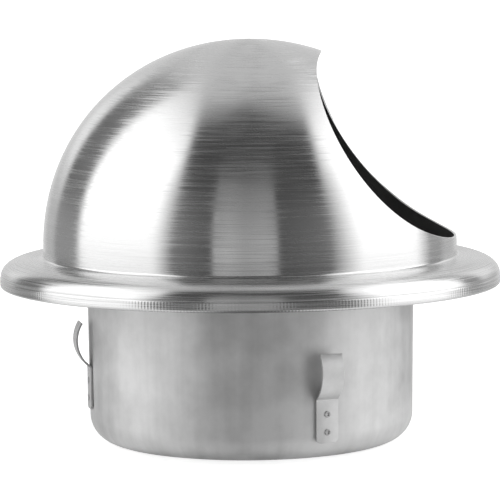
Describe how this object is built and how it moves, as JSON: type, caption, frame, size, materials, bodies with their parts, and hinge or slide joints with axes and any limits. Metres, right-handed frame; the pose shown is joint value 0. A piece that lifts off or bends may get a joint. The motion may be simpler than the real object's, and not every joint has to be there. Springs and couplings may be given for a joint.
{
  "type": "exhaust vent cowl",
  "caption": "Round steel cowl for a wall exhaust duct: domed hood with a cut-away mouth, rolled brim, duct collar with spring clips, bird screen and a hinged back-draught flap.",
  "frame": {"origin": "centre of the collar's lower end, on the plane that the collar stands on", "axes": "+Z runs along the collar's axis, out of the wall towards the dome; +X points to the hood's mouth, which faces down on a real wall; the wall plane is z = 0.047"},
  "size_m": [0.15, 0.15, 0.1202],
  "materials": {
    "hood_steel": "brushed around the dome's axis, bright",
    "drawn_steel": "satin, as drawn",
    "spring_steel": "matt spring strip",
    "wire_steel": "drawn wire",
    "flap_aluminium": "rolled sheet, satin",
    "seal_rubber": "matt black rubber"
  },
  "bodies": {
    "cowl": {"hood_shell": "hood_steel", "wall_plate": "drawn_steel", "duct_collar": "drawn_steel", "clip_1_tab": "spring_steel", "clip_1_rivet_lower": "spring_steel", "clip_1_rivet_upper": "spring_steel", "clip_2_tab": "spring_steel", "clip_2_rivet_lower": "spring_steel", "clip_2_rivet_upper": "spring_steel", "clip_3_tab": "spring_steel", "clip_3_rivet_lower": "spring_steel", "clip_3_rivet_upper": "spring_steel", "bird_screen": "wire_steel", "screen_ring": "wire_steel", "damper_seat": "drawn_steel", "damper_seal": "seal_rubber", "damper_pin": "wire_steel", "hinge_ear_left": "drawn_steel", "hinge_ear_right": "drawn_steel", "hinge_rivet_left": "spring_steel", "hinge_rivet_right": "spring_steel"},
    "damper": {"damper_flap": "flap_aluminium"},
    "clip_1_spring": {"clip_1_tongue": "spring_steel"},
    "clip_2_spring": {"clip_2_tongue": "spring_steel"},
    "clip_3_spring": {"clip_3_tongue": "spring_steel"}
  },
  "joints": [
    {"name": "damper_hinge", "type": "hinge", "parent": "cowl", "child": "damper", "pos_m": [-0.0433, 0, 0.0393], "axis": [0, -1, 0], "range_deg": [0, 60]},
    {"name": "clip_1_flex", "type": "hinge", "parent": "cowl", "child": "clip_1_spring", "pos_m": [0.02255, -0.0437, 0.018], "axis": [-0.8886, -0.4586, 0], "range_deg": [0, 9], "stiffness_Nm_per_rad": 0.5},
    {"name": "clip_2_flex", "type": "hinge", "parent": "cowl", "child": "clip_2_spring", "pos_m": [-0.04817, -0.01024, 0.0233], "axis": [-0.2079, 0.9781, 0], "range_deg": [0, 9], "stiffness_Nm_per_rad": 0.5},
    {"name": "clip_3_flex", "type": "hinge", "parent": "cowl", "child": "clip_3_spring", "pos_m": [0.02102, 0.04446, 0.018], "axis": [0.9041, -0.4274, 0], "range_deg": [0, 9], "stiffness_Nm_per_rad": 0.5}
  ]
}
